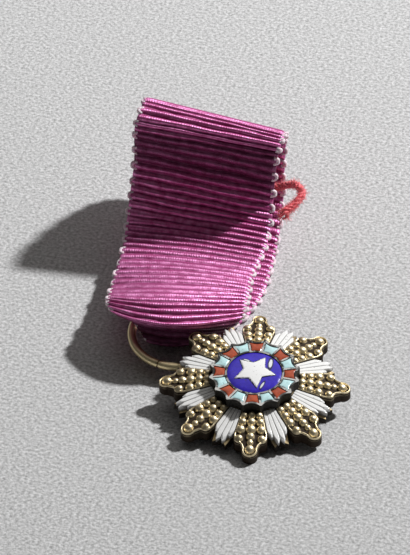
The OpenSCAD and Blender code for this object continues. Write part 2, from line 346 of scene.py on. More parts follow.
def make_ribbon():
    """The ribbed cloth, a closed band, with the numbers that its material reads."""
    lines = RIBS_ROUND * RIB_STEPS
    rib = 1.0 + np.arange(lines)[:, None] / RIB_STEPS
    t = np.linspace(-1.0, 1.0, RIBBON_STRIPS + 1)[None, :]
    rib, t = np.broadcast_arrays(rib, t)
    rng = np.random.default_rng(4)
    swell = rng.uniform(0.8, 1.08, RIBS_ROUND + 2)
    sway = 0.05 * np.sin(2.1 * t + 0.37 * rib) + 0.04 * np.sin(5.3 * t - 0.9 * rib)
    sway = sway + 0.03 * np.sin(11 * t + 2 * rib)
    phase = np.interp(rib, RIB_NUMBERS, RIBS_SHOWN) + sway
    bulge = np.abs(np.sin(np.pi * phase)) ** 0.7
    bulge = bulge * swell[np.floor(phase).astype(int) % len(swell)]
    margin = smooth_step((1 - np.abs(t)) * RIBBON_WIDTH / 2 / EDGE_WIDTH)
    groove = RIB_DEPTH * (1 - bulge) * (EDGE_GROOVE + (1 - EDGE_GROOVE) * margin)
    base = ribbon_point(rib, t)
    outward = ribbon_outward(rib, t)
    thick = CLOTH * (EDGE_THICKNESS + (1 - EDGE_THICKNESS) * margin)
    middle = base - outward * (CLOTH / 2)
    outer = middle + outward * (thick / 2 - groove)[..., None]
    inner = middle - outward * (thick / 2 - groove)[..., None]
    section = np.concatenate([outer, inner[:, ::-1]], axis=1)
    columns = section.shape[1]
    piece = mesh_object("ribbon_cloth", section.reshape(-1, 3),
                        [grid_faces(lines, columns, wrap_rows=True, wrap_columns=True)])
    width_at = np.concatenate([t, t[:, ::-1]], axis=1) * RIBBON_WIDTH / 2
    depth = np.concatenate([groove, groove[:, ::-1]], axis=1) / RIB_DEPTH
    set_value(piece, "width_at", width_at)
    set_value(piece, "groove", depth)
    # Painted shade under the fold and the roll, which the silk's material reads
    deep = ribbon_painted_shade(rib, t)
    set_value(piece, "painted_shade", np.concatenate([deep, deep[:, ::-1]], axis=1))
    return piece


# How far a loop stands out, its length counted in ribs, the radius of its thread, and how far inside the
# edge it starts
PICOT_REACH = 0.32
PICOT_LENGTH = 1.0
PICOT_THREAD = 0.21
PICOT_ROOT = 0.2
PICOT_POINTS = 13
PICOT_SIDES = 8
# The loops are shorter on the front near the fold: rib numbers, and the share of their length there
PICOT_SHARE = ((0, 16, 24, 88), (0.7, 0.75, 1.08, 0.9))
# The ring's wire presses the left edge's loops between these rib numbers to this share of their reach
PRESSED_RIBS = (40.5, 43.5)
PRESSED_SHARE = 0.1


def make_picots():
    """The small weft loops along both edges, one every second rib."""
    rng = np.random.default_rng(9)
    loops = Joined()
    for edge in (-1.0, 1.0):
        for k in range((RIBS_SHOWN[-1] - 1) // 2):
            centre = np.interp(1.5 + 2 * k + rng.uniform(-0.12, 0.12), RIBS_SHOWN, RIB_NUMBERS)
            half = PICOT_LENGTH / 2 * rng.uniform(0.85, 1.12) * np.interp(centre, *PICOT_SHARE)
            reach = PICOT_REACH * rng.uniform(0.8, 1.15)
            if edge < 0 and PRESSED_RIBS[0] < centre < PRESSED_RIBS[1]:
                reach *= PRESSED_SHARE
            turn = np.linspace(-0.12, 1.12, PICOT_POINTS) * np.pi
            rib = centre - half * np.cos(turn)
            inner_t = edge * (1 - 2 * PICOT_ROOT / RIBBON_WIDTH)
            at = ribbon_point(rib, np.full_like(rib, inner_t))
            out = ribbon_outward(rib, np.full_like(rib, inner_t))
            edge_point = ribbon_point(rib, np.full_like(rib, edge))
            away = unit(edge_point - ribbon_point(rib, np.full_like(rib, 0.8 * edge)))
            tip = rng.uniform(-0.12, 0.12)
            rise = np.sin(turn)
            line = at - out * (CLOTH / 2) + away * (reach * rise)[:, None] + out * (tip * rise)[:, None]
            line[:, 2] = np.maximum(line[:, 2], PICOT_THREAD)
            fat = PICOT_THREAD * rng.uniform(0.85, 1.1) * (1 + 0.12 * np.cos(6 * turn))
            points, quads = tube(line, fat, PICOT_SIDES)
            loops.add(points, quads)
    return loops.piece("ribbon_picots")


# Thread

# Listed from the inside of the back layer, out past the right edge, to the free end
THREAD_POINTS = [
    (2.6, 15.5, 5.6), (3.7, 14.9, 5.6), (4.7, 14.3, 5.9), (5.8, 14.1, 6.5), (7.2, 13, 7.5), (8.1, 12, 7.3),
    (8, 11, 7.1), (7.6, 10, 6.8), (6.9, 9.1, 6.6), (6.8, 9, 5.9),
]
THREAD_PLIES = 4
PLY_RADIUS = 0.18
PLY_OFFSET = 0.24
PLY_PITCH = 2.3
# The plies come loose over this length at the free end
LOOSE_END = 1.2
FLUFF_COUNT = 1300
FLUFF_RADIUS = 0.028


def make_thread():
    """Four twisted plies and many short fibres that stand off them."""
    rng = np.random.default_rng(21)
    line = smooth_path(THREAD_POINTS, 14)
    side, lift = path_frames(line)
    length = np.concatenate([[0], np.cumsum(np.linalg.norm(np.diff(line, axis=0), axis=1))])
    loose = smooth_step((length - length[-1] + LOOSE_END) / LOOSE_END)
    thread = Joined()
    for ply in range(THREAD_PLIES):
        turn = 2 * np.pi * (length / PLY_PITCH + ply / THREAD_PLIES)
        offset = PLY_OFFSET * (1 + 0.9 * loose)
        strand = line + (offset * np.cos(turn))[:, None] * side + (offset * np.sin(turn))[:, None] * lift
        strand_r = PLY_RADIUS * (1 - 0.45 * loose) * (1 + 0.08 * np.sin(9 * length + ply))
        points, quads = tube(strand, strand_r, 10)
        thread.add(points, quads)
    for _ in range(FLUFF_COUNT):
        k = int(rng.integers(4, len(line)))
        angle = rng.uniform(0, 2 * np.pi)
        out = math.cos(angle) * side[k] + math.sin(angle) * lift[k]
        along = unit(line[k] - line[k - 1])
        reach = rng.uniform(0.15, 0.5) * (1 + 0.8 * loose[k])
        lean = rng.uniform(-1.2, 1.2)
        curl = rng.normal(0, 0.12, 3)
        s = np.linspace(0, 1, 5)[:, None]
        hair = line[k] + out * (0.25 + reach * s) + along * (lean * reach * s) + curl * s * s * reach * 2
        points, quads = tube(hair, FLUFF_RADIUS * (1 - 0.6 * s[:, 0]), 3)
        thread.add(points, quads)
    return thread.piece("red_thread")


# Suspension ring

RING_AT = np.array([0.59, -9.85, 2.6])
# Lean about X and about Y
RING_LEAN = (8.5, 0.5)
RING_RADIUS = 5.15
RING_WIRE = 0.9
RING_SEAM_AT = -102.0
RING_SEAM_GAP = 0.09
RING_STEPS = 180
RING_SIDES = 28


def turn_about(axis, degrees):
    """A turn about X, Y or Z, as a table of three by three."""
    return np.array(Matrix.Rotation(math.radians(degrees), 3, axis))


def make_ring():
    """A closed jump ring of round wire; its two ends meet at a fine seam."""
    gap = math.degrees(RING_SEAM_GAP / RING_RADIUS)
    angle = np.radians(np.linspace(RING_SEAM_AT + gap / 2, RING_SEAM_AT + 360 - gap / 2, RING_STEPS))
    line = RING_RADIUS * np.stack([np.cos(angle), np.sin(angle), np.zeros_like(angle)], -1)
    wear = 1 - 0.025 * (0.5 + 0.5 * np.sin(3 * angle + 0.7)) - 0.015 * np.sin(11 * angle)
    end = np.minimum(np.arange(RING_STEPS), np.arange(RING_STEPS)[::-1])
    wear = wear * np.where(end == 0, 0.86, 1.0)
    points, quads = tube(line, RING_WIRE / 2 * wear, RING_SIDES)
    first = np.arange(RING_SIDES)
    last = first + (RING_STEPS - 1) * RING_SIDES
    lean = turn_about("Y", RING_LEAN[1]) @ turn_about("X", RING_LEAN[0])
    points = points @ lean.T + RING_AT
    return mesh_object("jump_ring", points, [quads, first[None, :], last[None, ::-1]], 60)


# Badge: drawn flat with the plate's back at Z = 0 and the suspension ray along +Y, then laid in place

STAR_RADIUS = 9.9
STAR_EDGE = 1.0
STAR_RISE = 1.0
HUB_RADIUS = 4.4
TIP_BEAD_RADIUS = 0.8
TIP_BEAD_AT = STAR_RADIUS - TIP_BEAD_RADIUS
CORNER_BEAD_RADIUS = 0.5
CORNER_BEAD_AT = (1.2, 7.75)
ENAMEL_DEPTH = 0.55
# Gap between an enamel and its pocket
PLAY = 0.03
RAYS = 8
RAY_STEP = 360 / RAYS
# Where the badge's centre lies, how far it leans, the way that it leans up, the way that its suspension ray
# points, and how far its lowest ray is off the way down
BADGE_AT = (10.5, -17.3)
BADGE_LEAN = 11.3
LEAN_WAY = 101.5
RAY_WAY = 146.3
LOWEST_RAY_OFF = 0.2
FACE_SLOPE = STAR_RISE / (STAR_RADIUS - HUB_RADIUS)


def badge_turn():
    """How the badge lies: it leans up toward LEAN_WAY, and its suspension ray points to RAY_WAY."""
    return turn_about("Z", LEAN_WAY) @ turn_about("Y", -BADGE_LEAN) @ turn_about("Z", RAY_WAY - 90 - LEAN_WAY)


def on_badge(points, spin=0.0):
    """Takes points from the badge's own drawing, turned by spin about its centre, to where it lies."""
    lowest = TIP_BEAD_AT * math.cos(math.radians(LOWEST_RAY_OFF)) + TIP_BEAD_RADIUS
    lift = lowest * math.sin(math.radians(BADGE_LEAN))
    turn = badge_turn() @ turn_about("Z", spin)
    return np.asarray(points) @ turn.T + np.array([BADGE_AT[0], BADGE_AT[1], lift])


def face_height(x, y):
    """Height of the star's sloping face above its back."""
    return STAR_EDGE + (STAR_RADIUS - np.hypot(x, y)) * FACE_SLOPE


SHOULDER_AT = 7.7
NECK_AT = 9.0
# Columns: distance along the gilt ray, half its width there
GILT_SIDE = [(3.2, 0.9), (4.7, 1.1), (7.2, 1.7), (SHOULDER_AT, 1.7), (8.4, 1.0), (NECK_AT, 0.78)]
# Columns: distance along the ray, distance from its middle line, radius, height of the bead
PEARLS = [
    (4.95, 0.0, 0.4, 0.36), (4.95, 0.76, 0.36, 0.34),
    (5.75, 0.0, 0.46, 0.44), (5.75, 0.9, 0.42, 0.4),
    (6.65, 0.0, 0.5, 0.46), (6.65, 1.06, 0.46, 0.42),
    (7.5, 0.0, 0.44, 0.42), (8.2, 0.0, 0.34, 0.3),
    (7.75, 1.16, 0.42, 0.42),
    (9.05, 0.0, 0.5, 0.5),
]
RIM_WIDTH = 0.2
RIM_HEIGHT = 0.2
# The rim is lower inside this distance from the centre
RIM_FULL_AT = 4.9
RAY_STARTS = 3.9
# Lines of points across the ray, more of them at its rounded tip, and the points in each
RAY_ROWS = 100
TIP_ROWS = 14
RAY_COLUMNS = 47
# Share of the ray's length that the tip's lines take
TIP_SHARE = 0.06
# The drawn ray stands this far past the solid's sides and above its face, and stops short of its tip
GILT_PAST = 0.012
GILT_OVER = 0.02
GILT_SHORT = 0.002
# Relief at which the floor's tarnish ends
CLEAN_AT = 0.12
# Lines of points down the ray's sides: share of the face's height, and how dark with painted shade, deepest
# at the walls' feet
GILT_WALLS = ((0.0, 1.0), (0.7, 0.95), (0.86, 0.7))


def gilt_half_width(y):
    """Half the gilt ray's width, with its two corner lobes and the lobe at its tip."""
    body = np.interp(y, *zip(*GILT_SIDE), right=0.0)
    corner = CORNER_BEAD_RADIUS ** 2 - (y - CORNER_BEAD_AT[1]) ** 2
    corner = np.where(corner > 0, CORNER_BEAD_AT[0] + np.sqrt(np.maximum(corner, 0)), 0)
    tip = np.sqrt(np.maximum(TIP_BEAD_RADIUS ** 2 - (y - TIP_BEAD_AT) ** 2, 0))
    return np.maximum(np.maximum(body, corner), tip)


def gilt_depth_inside(x, y):
    """How far inside the gilt ray's outline a point lies, about."""
    x = np.abs(x)
    corner = CORNER_BEAD_RADIUS - np.hypot(x - CORNER_BEAD_AT[0], y - CORNER_BEAD_AT[1])
    tip = TIP_BEAD_RADIUS - np.hypot(x, y - TIP_BEAD_AT)
    side = np.interp(y, *zip(*GILT_SIDE)) - x
    side = np.where(y > SHOULDER_AT, side * 0.7, side)
    body = np.where(y > NECK_AT, 0.0, side)
    return np.maximum(np.maximum(corner, tip), body)


def gilt_relief(x, y):
    """Rim and pearls of a gilt ray: their height above its sunk floor."""
    inside = gilt_depth_inside(x, y)
    rim = RIM_HEIGHT * np.sin(np.pi * np.clip(inside / RIM_WIDTH, 0, 1)) ** 0.7
    height = np.where(y > RIM_FULL_AT, rim, rim * 0.6)
    for along, aside, radius, rise in PEARLS:
        near = np.hypot(np.abs(x) - aside, y - along) / radius
        height = np.maximum(height, rise * np.sqrt(np.maximum(1 - near ** 2, 0)))
    return height


def gilt_ray(spin):
    """Points, quads and recess of one gilt ray's top and sides; the sides carry painted shade."""
    body = np.linspace(0, 1 - TIP_SHARE, RAY_ROWS)
    tip = 1 - TIP_SHARE * (1 - np.linspace(0.12, 1, TIP_ROWS)) ** 2
    rows = np.sort(RAY_STARTS + (STAR_RADIUS - GILT_SHORT - RAY_STARTS) * np.concatenate([body, tip]))
    across = np.linspace(-1, 1, RAY_COLUMNS)
    y = np.repeat(rows[:, None], RAY_COLUMNS, 1)
    x = (gilt_half_width(rows) + GILT_PAST)[:, None] * across[None, :]
    relief = gilt_relief(x, y)
    top = np.stack([x, y, face_height(x, y) + GILT_OVER + relief], -1)
    recess = np.clip(1 - relief / CLEAN_AT, 0, 1)

    def wall(column):
        lines = []
        for share, _ in GILT_WALLS:
            line = top[:, column].copy()
            line[:, 2] = face_height(line[:, 0], line[:, 1]) * share
            lines.append(line)
        return np.stack(lines, axis=1)

    # Painted shade on the walls, darker toward their feet
    tarnish_and_shade = np.repeat([[dark for _, dark in GILT_WALLS]], len(rows), axis=0)
    grid = np.concatenate([wall(0), top, wall(-1)[:, ::-1]], axis=1)
    values = np.concatenate([tarnish_and_shade, recess, tarnish_and_shade[:, ::-1]], axis=1)
    quads = grid_faces(grid.shape[0], grid.shape[1])[:, ::-1]
    return on_badge(grid.reshape(-1, 3), spin), quads, values.ravel()


def make_gilt_rays():
    """The tops and sides of all the gilt rays, with their rims and pearls."""
    rays = Joined()
    for k in range(RAYS):
        rays.add(*gilt_ray(k * RAY_STEP))
    piece = rays.piece("gilt_ray_pearls", 70)
    # The stored recess also holds the painted shade of the rays' walls
    set_value(piece, "recess", rays.all_values())
    return piece


# Columns: share of half the white ray's width, how far from the centre the ray ends there
WHITE_ENDS = [(0.0, 7.85), (0.12, 8.15), (0.3, 8.45), (0.46, 8.1), (0.54, 7.5), (0.74, 7.6), (1.0, 6.95)]
WHITE_GROOVES = (0.0, 0.52)
# Distances from the centre, and half the ray's width at each
WHITE_SIDE = ((4.3, 7.1), (0.62, 1.1))
WHITE_ROWS = 34
WHITE_COLUMNS = 61
WHITE_STARTS = HUB_RADIUS + 0.05
WHITE_SUNK = 0.03
WHITE_END_DROP = 0.12
FLUTE_RISE = 0.09
# Half the width of a groove and of the dark crack in it, as shares of half the ray's width
GROOVE_WIDTH = 0.1
CRACK_WIDTH = 0.04
# How dark with dirt the feet of the ray's walls are
EDGE_DIRT = 0.75


def badge_piece(name, grid, spin, smooth_below, closed=False):
    """A mesh from a grid of points drawn on the flat badge, whose rows may be closed outlines."""
    quads = grid_faces(grid.shape[0], grid.shape[1], wrap_columns=closed)[:, ::-1]
    return mesh_object(name, on_badge(grid.reshape(-1, 3), spin), [quads], smooth_below)


def with_walls(top, low):
    """A grid with walls round it that go down to low, and which of its points are the walls' feet."""
    grid = np.pad(top, ((1, 1), (1, 1), (0, 0)), mode="edge")
    border = np.ones(grid.shape[:2], bool)
    border[1:-1, 1:-1] = False
    low = np.pad(np.broadcast_to(low, top.shape[:2]), 1, mode="edge")
    grid[..., 2] = np.where(border, low, grid[..., 2])
    return grid, border


def make_white_ray(number):
    """A fluted enamel ray with two long tips between two short ones."""
    across = np.linspace(-1, 1, WHITE_COLUMNS)
    ends = np.interp(np.abs(across), *zip(*WHITE_ENDS))
    s = np.linspace(0, 1, WHITE_ROWS)[:, None]
    y = WHITE_STARTS + s * (ends[None, :] - WHITE_STARTS)
    x = across[None, :] * np.interp(y, *WHITE_SIDE)
    away = np.min([np.abs(np.abs(across) - groove) for groove in WHITE_GROOVES + (1.0,)], axis=0)
    flute = np.clip(away / GROOVE_WIDTH, 0, 1) ** 0.6
    end_drop = WHITE_END_DROP * smooth_step((s - 0.9) / 0.1)
    z = face_height(x, y) - WHITE_SUNK + FLUTE_RISE * flute[None, :] * (0.5 + 0.5 * s) - end_drop
    top = np.stack([x, y, z], -1)
    crack = np.repeat(np.clip(1.1 - away / CRACK_WIDTH, 0, 1)[None, :], len(s), 0)
    grid, border = with_walls(top, face_height(x, y) - ENAMEL_DEPTH + PLAY)
    values = np.where(border, EDGE_DIRT, np.pad(crack, 1, mode="edge"))
    spin = -(number - 0.5) * RAY_STEP
    piece = badge_piece(f"white_flutes_{number}", grid, spin, 55)
    set_value(piece, "recess", values)
    return piece


MEDALLION_RADIUS = 4.7
MEDALLION_GAP = 0.04
MEDALLION_HEIGHT = 1.1
MEDALLION_TOP = STAR_EDGE + STAR_RISE + MEDALLION_GAP + MEDALLION_HEIGHT
WALL_WIDTH = 0.2
SCALLOP_RADIUS = 1.2
SCALLOP_DEPTH = 0.4
SCALLOP_AT = MEDALLION_RADIUS - SCALLOP_DEPTH + SCALLOP_RADIUS
SEGMENT_IN = 3.05
SEGMENT_STEP = 22.5
FIELD_DEPTH = 0.3
# How far a segment's face lies below the walls, and how much it swells again in its middle
SEGMENT_SUNK = 0.09
SEGMENT_SWELL = 0.1
SEGMENT_ROWS = 13
SEGMENT_COLUMNS = 15
# The rim's tarnish begins at this distance from the centre
RIM_STARTS = 3.98
RIM_FADE = 0.12
# Between these distances from the centre the tarnish of the ring round the disc gives way
RING_FADES = (3.0, 3.1)


def make_segment(name, step):
    """A field of enamel in the medallion's rim: its face swells a little and meets the walls lower."""
    a = np.linspace(-1, 1, SEGMENT_COLUMNS)[None, :]
    b = np.linspace(0, 1, SEGMENT_ROWS)[:, None]
    in_r = SEGMENT_IN + PLAY
    reach = SCALLOP_RADIUS + WALL_WIDTH + PLAY
    wall = WALL_WIDTH / 2 + PLAY
    r = np.full((SEGMENT_ROWS, SEGMENT_COLUMNS), 3.7)
    # A wall is equally thick all the way out, so its angle depends on the radius; four rounds settle both
    for _ in range(4):
        phi = a * (np.radians(SEGMENT_STEP / 2) - np.arcsin(wall / r))
        out_r = SCALLOP_AT * np.cos(phi) - np.sqrt(reach ** 2 - (SCALLOP_AT * np.sin(phi)) ** 2)
        r = in_r + b * (out_r - in_r)
    swell = np.sqrt(np.clip((1 - a ** 2) * (1 - (2 * b - 1) ** 2), 0, 1))
    z = MEDALLION_TOP - SEGMENT_SUNK + SEGMENT_SWELL * swell
    top = np.stack([r * np.sin(phi), r * np.cos(phi), z], -1)
    grid, _ = with_walls(top, MEDALLION_TOP - FIELD_DEPTH)
    return badge_piece(name, grid, -step * SEGMENT_STEP, 60)


DISC_RADIUS = 2.85
DISC_DOME = 0.3
# Circles of points in the disc, as shares of its radius. The last is the foot of its wall.
DISC_CIRCLES = (0.001, 0.2, 0.4, 0.55, 0.7, 0.82, 0.92, 0.97, 1.0, 1.0)
DISC_SIDES = 96
# How far the field lies below the dome, and how much lower its edge is
DISC_SUNK = 0.05
DISC_EDGE_DROP = 0.05
# Radius of the star's notches as a share of the radius of its tips
STAR_NOTCH = 0.52
STAR_SIDE_STEPS = 8
# Columns: radius of an outline of the white star, height above the dome
STAR_OUTLINES = (
    (0.01, 0.0), (0.5, 0.0), (1.0, 0.0), (1.5, 0.0), (1.9, 0.0), (2.1, 0.0), (2.17, -0.03), (2.17, -0.2),
)
STAR_OVER = 0.02
# Columns: radius of an outline of the wire round the star, height above the dome
WIRE_OUTLINES = ((2.19, -0.2), (2.2, 0.0), (2.26, 0.025), (2.32, 0.0), (2.33, -0.2))
WIRE_OVER = 0.01


def dome_height(x, y):
    """Height of the blue field's dome above the badge's back."""
    return MEDALLION_TOP + DISC_DOME * (1 - (x * x + y * y) / DISC_RADIUS ** 2)


def star_corner(radius):
    """The ten corners of a five-pointed star with a tip along +Y."""
    turn = np.radians(36 * np.arange(10))
    r = np.where(np.arange(10) % 2 == 0, radius, STAR_NOTCH * radius)
    return np.stack([-r * np.sin(turn), r * np.cos(turn)], -1)


def make_star_piece(name, outlines, over):
    """A piece of star outlines inside each other, which follows the dome; each side is in equal steps."""
    rings = []
    for radius, _ in outlines:
        corner = star_corner(radius)
        after = np.roll(corner, -1, axis=0)
        s = np.arange(STAR_SIDE_STEPS) / STAR_SIDE_STEPS
        rings.append((corner[:, None] + s[None, :, None] * (after - corner)[:, None]).reshape(-1, 2))
    rings = np.array(rings)
    rise = np.array([rise for _, rise in outlines])
    z = dome_height(rings[..., 0], rings[..., 1]) + over + rise[:, None]
    grid = np.concatenate([rings, z[..., None]], -1)
    return badge_piece(name, grid, 0.0, 50, closed=True)


def make_blue_disc():
    """The domed blue field, a little lower at its edge."""
    radii = (DISC_RADIUS - PLAY) * np.array(DISC_CIRCLES)
    turn = 2 * np.pi * np.arange(DISC_SIDES) / DISC_SIDES
    x = radii[:, None] * np.sin(turn)
    y = radii[:, None] * np.cos(turn)
    edge = smooth_step((radii[:, None] / DISC_RADIUS - 0.9) / 0.09)
    z = dome_height(x, y) - DISC_SUNK - DISC_EDGE_DROP * edge
    z[-1] = MEDALLION_TOP - FIELD_DEPTH
    grid = np.stack([x, y, z], -1)
    quads = grid_faces(len(radii), DISC_SIDES, wrap_columns=True)
    return mesh_object("blue_field", on_badge(grid.reshape(-1, 3)), [quads], 60)


# Materials

def node_group(name, inputs, outputs):
    """An empty group with its named sockets. Each is (name, type, default)."""
    group = bpy.data.node_groups.new(name, "ShaderNodeTree")
    for label, kind, value in inputs:
        socket = group.interface.new_socket(label, in_out="INPUT", socket_type=kind)
        socket.default_value = value
    for label, kind in outputs:
        group.interface.new_socket(label, in_out="OUTPUT", socket_type=kind)
    start = group.nodes.new("NodeGroupInput")
    end = group.nodes.new("NodeGroupOutput")
    return group, start, end


FLOAT = "NodeSocketFloat"
COLOR = "NodeSocketColor"
VECTOR = "NodeSocketVector"


def noise(tree, vector, scale, detail=3.0, roughness=0.55):
    node = tree.nodes.new("ShaderNodeTexNoise")
    node.inputs["Detail"].default_value = detail
    node.inputs["Roughness"].default_value = roughness
    node.inputs["Scale"].default_value = scale
    tree.links.new(vector, node.inputs["Vector"])
    return node.outputs["Fac"]


def math_node(tree, operation, a, b=None, clamp=False):
    node = tree.nodes.new("ShaderNodeMath")
    node.operation = operation
    node.use_clamp = clamp
    for k, value in enumerate((a, b)):
        if value is None:
            continue
        if isinstance(value, (int, float)):
            node.inputs[k].default_value = value
        else:
            tree.links.new(value, node.inputs[k])
    return node.outputs[0]


def times(tree, a, b, clamp=False):
    return math_node(tree, "MULTIPLY", a, b, clamp)


def plus(tree, a, b):
    return math_node(tree, "ADD", a, b)


def share_along(tree, vector, way):
    """How far a vector reaches along a fixed way."""
    node = tree.nodes.new("ShaderNodeVectorMath")
    node.operation = "DOT_PRODUCT"
    tree.links.new(vector, node.inputs[0])
    node.inputs[1].default_value = way
    return node.outputs["Value"]


def remap(tree, value, low, high, new_low=0.0, new_high=1.0):
    node = tree.nodes.new("ShaderNodeMapRange")
    tree.links.new(value, node.inputs["Value"])
    for label, number in (("From Min", low), ("From Max", high), ("To Min", new_low), ("To Max", new_high)):
        node.inputs[label].default_value = number
    return node.outputs["Result"]


def mix_color(tree, share, a, b, blend="MIX"):
    node = tree.nodes.new("ShaderNodeMix")
    node.data_type = "RGBA"
    node.blend_type = blend
    for value, socket in ((share, node.inputs[0]), (a, node.inputs[6]), (b, node.inputs[7])):
        if isinstance(value, (int, float)):
            socket.default_value = value
        elif isinstance(value, tuple):
            socket.default_value = (*value, 1.0)
        else:
            tree.links.new(value, socket)
    return node.outputs[2]


def bump(tree, height, strength, distance):
    node = tree.nodes.new("ShaderNodeBump")
    node.inputs["Strength"].default_value = strength
    node.inputs["Distance"].default_value = distance
    tree.links.new(height, node.inputs["Height"])
    return node.outputs["Normal"]


def object_place(tree):
    return tree.nodes.new("ShaderNodeTexCoord").outputs["Object"]


def stored(tree, name):
    node = tree.nodes.new("ShaderNodeAttribute")
    node.attribute_name = name
    return node.outputs["Fac"]


def make_aged_metal_group():
    """Bright metal on what is rubbed and dark tarnish in the recesses, with a finely uneven surface; Recess
    can also carry painted shade.
    """
    group, start, end = node_group(
        "aged_metal",
        [("Bright", COLOR, (0.8, 0.6, 0.3, 1)), ("Tarnish", COLOR, (0.05, 0.035, 0.02, 1)),
         ("Recess", FLOAT, 0.0), ("Wear", FLOAT, 0.3), ("Polish", FLOAT, 0.0)],
        [("Color", COLOR), ("Roughness", FLOAT), ("Metal", FLOAT), ("Normal", VECTOR)])
    place = object_place(group)
    blotch = noise(group, place, 900.0, 4.0)
    fine = noise(group, place, 5200.0, 3.0, 0.7)
    patch = noise(group, place, 260.0, 2.0)
    uneven = times(group, math_node(group, "SUBTRACT", blotch, 0.5), 0.7)
    deep = plus(group, start.outputs["Recess"], uneven)
    worn = times(group, remap(group, patch, 0.45, 0.7), start.outputs["Wear"])
    dark = remap(group, plus(group, deep, worn), 0.22, 0.85)
    bright, tarnish_and_shade = start.outputs["Bright"], start.outputs["Tarnish"]
    shade = mix_color(group, times(group, fine, 0.25), bright, tarnish_and_shade)
    group.links.new(mix_color(group, dark, shade, tarnish_and_shade), end.inputs["Color"])
    rough = plus(group, remap(group, dark, 0.0, 1.0, 0.33, 0.62), times(group, fine, 0.16))
    dull = math_node(group, "SUBTRACT", 1.0, start.outputs["Polish"])
    group.links.new(times(group, rough, dull), end.inputs["Roughness"])
    group.links.new(remap(group, dark, 0.0, 1.0, 1.0, 0.35), end.inputs["Metal"])
    height = plus(group, times(group, fine, 0.5), blotch)
    group.links.new(bump(group, height, 0.35, 0.00006), end.inputs["Normal"])
    return group


def make_enamel_group():
    """Fired enamel: a little uneven in tone and surface, with fine pits and dirt where it meets the metal."""
    group, start, end = node_group(
        "fired_enamel",
        [("Color", COLOR, (0.8, 0.8, 0.8, 1)), ("Dirt", COLOR, (0.08, 0.06, 0.04, 1)), ("Recess", FLOAT, 0.0),
         ("Unevenness", FLOAT, 0.3)],
        [("Color", COLOR), ("Roughness", FLOAT), ("Normal", VECTOR)])
    place = object_place(group)
    cloud = noise(group, place, 700.0, 3.0)
    pit = noise(group, place, 4200.0, 2.0)
    darker = mix_color(group, 1.0, start.outputs["Color"], (0.55, 0.55, 0.55), "MULTIPLY")
    mottle = noise(group, place, 2600.0, 2.0)
    mixed = plus(group, times(group, cloud, 0.4), times(group, mottle, 0.6))
    share = times(group, remap(group, mixed, 0.38, 0.64), start.outputs["Unevenness"])
    tone = mix_color(group, share, start.outputs["Color"], darker)
    specks = remap(group, pit, 0.66, 0.74, 0.0, 0.5)
    dirt = math_node(group, "MAXIMUM", start.outputs["Recess"], specks)
    group.links.new(mix_color(group, dirt, tone, start.outputs["Dirt"]), end.inputs["Color"])
    group.links.new(remap(group, cloud, 0.3, 0.7, 0.08, 0.24), end.inputs["Roughness"])
    height = plus(group, times(group, cloud, 1.6), times(group, pit, -0.2))
    group.links.new(bump(group, height, 0.3, 0.0001), end.inputs["Normal"])
    return group


def make_fibre_group():
    """The fine grain of silk and cotton: light fluff, duller patches, and small bumps on top of Height."""
    group, start, end = node_group(
        "spun_fibre",
        [("Color", COLOR, (0.5, 0.1, 0.3, 1)), ("Light", COLOR, (0.9, 0.5, 0.7, 1)), ("Grain", FLOAT, 1.0),
         ("Height", FLOAT, 0.5)],
        [("Color", COLOR), ("Roughness", FLOAT), ("Normal", VECTOR)])
    place = object_place(group)
    fluff = noise(group, place, 6500.0, 3.0, 0.65)
    patch = noise(group, place, 420.0, 3.0)
    stands_out = math_node(group, "SUBTRACT", fluff, 0.45)
    grain = times(group, stands_out, start.outputs["Grain"], clamp=True)
    tone = mix_color(group, grain, start.outputs["Color"], start.outputs["Light"])
    dull = mix_color(group, 1.0, tone, (0.72, 0.7, 0.72), "MULTIPLY")
    color = mix_color(group, remap(group, patch, 0.4, 0.75, 0.0, 0.7), tone, dull)
    group.links.new(color, end.inputs["Color"])
    group.links.new(remap(group, fluff, 0.3, 0.7, 0.34, 0.6), end.inputs["Roughness"])
    height = plus(group, start.outputs["Height"], times(group, fluff, 0.6))
    group.links.new(bump(group, height, 0.55, 0.00006), end.inputs["Normal"])
    return group


def new_material(name):
    material = bpy.data.materials.new(name)
    material.use_nodes = True
    tree = material.node_tree
    return material, tree, tree.nodes["Principled BSDF"]


def use_group(tree, group, **values):
    node = tree.nodes.new("ShaderNodeGroup")
    node.node_tree = group
    for label, value in values.items():
        if isinstance(value, tuple):
            node.inputs[label].default_value = (*value, 1.0)
        elif isinstance(value, (int, float)):
            node.inputs[label].default_value = value
        else:
            tree.links.new(value, node.inputs[label])
    return node


SHADER_SOCKETS = {"Color": "Base Color", "Roughness": "Roughness", "Metal": "Metallic", "Normal": "Normal"}


def connect(tree, node, shader, *labels):
    """Leads a group's outputs to the shader's sockets for them."""
    for label in labels:
        tree.links.new(node.outputs[label], shader.inputs[SHADER_SOCKETS[label]])


def wall_painted_shade(tree, share):
    """Painted shade: a share of the dark tarnish colour on walls that stand square to the badge's face, and
    none on what faces up.
    """
    normal = tree.nodes.new("ShaderNodeNewGeometry").outputs["True Normal"]
    facing = share_along(tree, normal, tuple(badge_turn()[:, 2]))
    return remap(tree, facing, 0.75, 0.2, 0.0, share)


def patches(tree, strength):
    """Small patches of tarnish."""
    return remap(tree, noise(tree, object_place(tree), 1500.0, 2.0), 0.47, 0.6, -0.3 * strength, strength)


def badge_place(tree):
    """Two numbers that say where a point lies on the badge's face: across the suspension ray and along it."""
    turn = badge_turn()
    centre = on_badge([[0.0, 0.0, MEDALLION_TOP]])[0]
    flat = []
    for axis in (0, 1):
        along = share_along(tree, object_place(tree), tuple(turn[:, axis]))
        origin = float(turn[:, axis].dot(centre - MIDDLE)) * MM
        flat.append(math_node(tree, "SUBTRACT", along, origin))
    return flat


def square_sum(tree, a, b):
    return plus(tree, times(tree, a, a), times(tree, b, b))


FLECK_PALE = (0.8, 0.82, 0.85)
